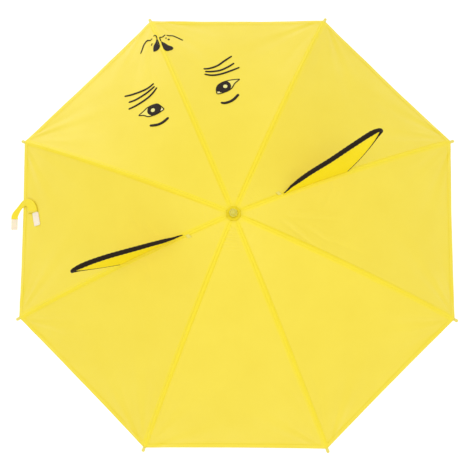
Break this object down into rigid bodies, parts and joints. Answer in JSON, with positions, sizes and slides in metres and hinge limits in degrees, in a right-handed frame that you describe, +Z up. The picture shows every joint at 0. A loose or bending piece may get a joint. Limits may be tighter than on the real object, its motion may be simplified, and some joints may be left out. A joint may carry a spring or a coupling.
{
  "type": "children's stick umbrella",
  "caption": "Open child's stick umbrella with an eight-panel fabric dome, two stand-up padded ears, steel ribs and stretchers, a sliding runner and a hooked handle.",
  "frame": {"origin": "on the shaft's axis at the middle of the grip, where a hand holds the open umbrella", "axes": "+Z up along the shaft towards the top cap; -Y towards the printed face; +X and -X along the two ribs that carry the ears"},
  "size_m": [0.7484, 0.7484, 0.6268],
  "materials": {
    "steel": "nickel-plated steel tube and channel",
    "spring_wire": "bright spring steel",
    "white_plastic": "milky white moulded plastic",
    "yellow_plastic": "yellow moulded plastic",
    "canopy_fabric": "yellow plain-weave polyester with printed face",
    "ear_fabric": "yellow polyester over foam",
    "black_tape": "black woven binding tape",
    "clear_plastic": "translucent moulded plastic",
    "tab_fabric": "off-white hook-and-loop tape"
  },
  "bodies": {
    "root": {"shaft": "steel", "handle": "yellow_plastic", "handle_collar": "white_plastic", "top_notch": "white_plastic", "notch_wire_ring": "spring_wire", "canopy_rosette": "canopy_fabric", "canopy_washer": "canopy_fabric", "top_cap": "clear_plastic"},
    "runner": {"runner": "white_plastic", "runner_wire_ring": "spring_wire", "runner_collar": "yellow_plastic"},
    "rib_1": {"rib_1": "steel", "rib_tip_1": "clear_plastic", "rivet_1": "spring_wire", "canopy_panel_1": "canopy_fabric"},
    "rib_2": {"rib_2": "steel", "rib_tip_2": "clear_plastic", "rivet_2": "spring_wire", "canopy_panel_2": "canopy_fabric", "tie_strap": "canopy_fabric", "tie_strap_loop_tab": "tab_fabric", "tie_strap_hook_tab": "tab_fabric"},
    "rib_3": {"rib_3": "steel", "rib_tip_3": "clear_plastic", "rivet_3": "spring_wire", "canopy_panel_3": "canopy_fabric", "ear_left": "ear_fabric", "ear_left_piping": "black_tape"},
    "rib_4": {"rib_4": "steel", "rib_tip_4": "clear_plastic", "rivet_4": "spring_wire", "canopy_panel_4": "canopy_fabric"},
    "rib_5": {"rib_5": "steel", "rib_tip_5": "clear_plastic", "rivet_5": "spring_wire", "canopy_panel_5": "canopy_fabric"},
    "rib_6": {"rib_6": "steel", "rib_tip_6": "clear_plastic", "rivet_6": "spring_wire", "canopy_panel_6": "canopy_fabric"},
    "rib_7": {"rib_7": "steel", "rib_tip_7": "clear_plastic", "rivet_7": "spring_wire", "canopy_panel_7": "canopy_fabric", "ear_right": "ear_fabric", "ear_right_piping": "black_tape"},
    "rib_8": {"rib_8": "steel", "rib_tip_8": "clear_plastic", "rivet_8": "spring_wire", "canopy_panel_8": "canopy_fabric"},
    "stretcher_1": {"stretcher_1": "steel"},
    "stretcher_2": {"stretcher_2": "steel"},
    "stretcher_3": {"stretcher_3": "steel"},
    "stretcher_4": {"stretcher_4": "steel"},
    "stretcher_5": {"stretcher_5": "steel"},
    "stretcher_6": {"stretcher_6": "steel"},
    "stretcher_7": {"stretcher_7": "steel"},
    "stretcher_8": {"stretcher_8": "steel"},
    "top_catch": {"top_spring_catch": "spring_wire"},
    "bottom_catch": {"bottom_spring_catch": "spring_wire"}
  },
  "joints": [
    {"name": "runner_slide", "type": "slide", "parent": "root", "child": "runner", "axis": [0, 0, 1], "range_m": [-0.2051, 0], "deforming": ["canopy_panel_1", "canopy_panel_2", "canopy_panel_3", "canopy_panel_4", "canopy_panel_5", "canopy_panel_6", "canopy_panel_7", "canopy_panel_8", "ear_left", "ear_left_piping", "ear_right", "ear_right_piping", "tie_strap", "tie_strap_loop_tab", "tie_strap_hook_tab", "top_spring_catch", "bottom_spring_catch"]},
    {"name": "rib_1_hinge", "type": "hinge", "parent": "root", "child": "rib_1", "pos_m": [0, -0.008, 0.51336], "axis": [1, 0, 0], "range_deg": [0, 63.15]},
    {"name": "rib_2_hinge", "type": "hinge", "parent": "root", "child": "rib_2", "pos_m": [0.00566, -0.00566, 0.51336], "axis": [0.7071, 0.7071, 0], "range_deg": [0, 63.15]},
    {"name": "rib_3_hinge", "type": "hinge", "parent": "root", "child": "rib_3", "pos_m": [0.008, 0, 0.51336], "axis": [0, 1, 0], "range_deg": [0, 63.15]},
    {"name": "rib_4_hinge", "type": "hinge", "parent": "root", "child": "rib_4", "pos_m": [0.00566, 0.00566, 0.51336], "axis": [-0.7071, 0.7071, 0], "range_deg": [0, 63.15]},
    {"name": "rib_5_hinge", "type": "hinge", "parent": "root", "child": "rib_5", "pos_m": [0, 0.008, 0.51336], "axis": [-1, 0, 0], "range_deg": [0, 63.15]},
    {"name": "rib_6_hinge", "type": "hinge", "parent": "root", "child": "rib_6", "pos_m": [-0.00566, 0.00566, 0.51336], "axis": [-0.7071, -0.7071, 0], "range_deg": [0, 63.15]},
    {"name": "rib_7_hinge", "type": "hinge", "parent": "root", "child": "rib_7", "pos_m": [-0.008, 0, 0.51336], "axis": [0, -1, 0], "range_deg": [0, 63.15]},
    {"name": "rib_8_hinge", "type": "hinge", "parent": "root", "child": "rib_8", "pos_m": [-0.00566, -0.00566, 0.51336], "axis": [0.7071, -0.7071, 0], "range_deg": [0, 63.15]},
    {"name": "stretcher_1_hinge", "type": "hinge", "parent": "runner", "child": "stretcher_1", "pos_m": [0, -0.009, 0.3839], "axis": [1, 0, 0], "range_deg": [-49.02, 0]},
    {"name": "stretcher_2_hinge", "type": "hinge", "parent": "runner", "child": "stretcher_2", "pos_m": [0.00636, -0.00636, 0.3839], "axis": [0.7071, 0.7071, 0], "range_deg": [-49.02, 0]},
    {"name": "stretcher_3_hinge", "type": "hinge", "parent": "runner", "child": "stretcher_3", "pos_m": [0.009, 0, 0.3839], "axis": [0, 1, 0], "range_deg": [-49.02, 0]},
    {"name": "stretcher_4_hinge", "type": "hinge", "parent": "runner", "child": "stretcher_4", "pos_m": [0.00636, 0.00636, 0.3839], "axis": [-0.7071, 0.7071, 0], "range_deg": [-49.02, 0]},
    {"name": "stretcher_5_hinge", "type": "hinge", "parent": "runner", "child": "stretcher_5", "pos_m": [0, 0.009, 0.3839], "axis": [-1, 0, 0], "range_deg": [-49.02, 0]},
    {"name": "stretcher_6_hinge", "type": "hinge", "parent": "runner", "child": "stretcher_6", "pos_m": [-0.00636, 0.00636, 0.3839], "axis": [-0.7071, -0.7071, 0], "range_deg": [-49.02, 0]},
    {"name": "stretcher_7_hinge", "type": "hinge", "parent": "runner", "child": "stretcher_7", "pos_m": [-0.009, 0, 0.3839], "axis": [0, -1, 0], "range_deg": [-49.02, 0]},
    {"name": "stretcher_8_hinge", "type": "hinge", "parent": "runner", "child": "stretcher_8", "pos_m": [-0.00636, -0.00636, 0.3839], "axis": [0.7071, -0.7071, 0], "range_deg": [-49.02, 0]},
    {"name": "top_catch_press", "type": "hinge", "parent": "root", "child": "top_catch", "pos_m": [0.00148, 0.00061, 0.3234], "axis": [-0.3827, 0.9239, 0], "range_deg": [-12, 0], "stiffness_Nm_per_rad": 0.05},
    {"name": "bottom_catch_press", "type": "hinge", "parent": "root", "child": "bottom_catch", "pos_m": [0.00148, 0.00061, 0.1683], "axis": [-0.3827, 0.9239, 0], "range_deg": [0, 12], "stiffness_Nm_per_rad": 0.05}
  ],
  "couplings": [
    {"joint": "rib_1_hinge", "follows": "runner_slide", "rad_per_m": -5.3693},
    {"joint": "rib_2_hinge", "follows": "runner_slide", "rad_per_m": -5.3693},
    {"joint": "rib_3_hinge", "follows": "runner_slide", "rad_per_m": -5.3693},
    {"joint": "rib_4_hinge", "follows": "runner_slide", "rad_per_m": -5.3693},
    {"joint": "rib_5_hinge", "follows": "runner_slide", "rad_per_m": -5.3693},
    {"joint": "rib_6_hinge", "follows": "runner_slide", "rad_per_m": -5.3693},
    {"joint": "rib_7_hinge", "follows": "runner_slide", "rad_per_m": -5.3693},
    {"joint": "rib_8_hinge", "follows": "runner_slide", "rad_per_m": -5.3693},
    {"joint": "stretcher_1_hinge", "follows": "runner_slide", "rad_per_m": 4.1671},
    {"joint": "stretcher_2_hinge", "follows": "runner_slide", "rad_per_m": 4.1671},
    {"joint": "stretcher_3_hinge", "follows": "runner_slide", "rad_per_m": 4.1671},
    {"joint": "stretcher_4_hinge", "follows": "runner_slide", "rad_per_m": 4.1671},
    {"joint": "stretcher_5_hinge", "follows": "runner_slide", "rad_per_m": 4.1671},
    {"joint": "stretcher_6_hinge", "follows": "runner_slide", "rad_per_m": 4.1671},
    {"joint": "stretcher_7_hinge", "follows": "runner_slide", "rad_per_m": 4.1671},
    {"joint": "stretcher_8_hinge", "follows": "runner_slide", "rad_per_m": 4.1671}
  ]
}
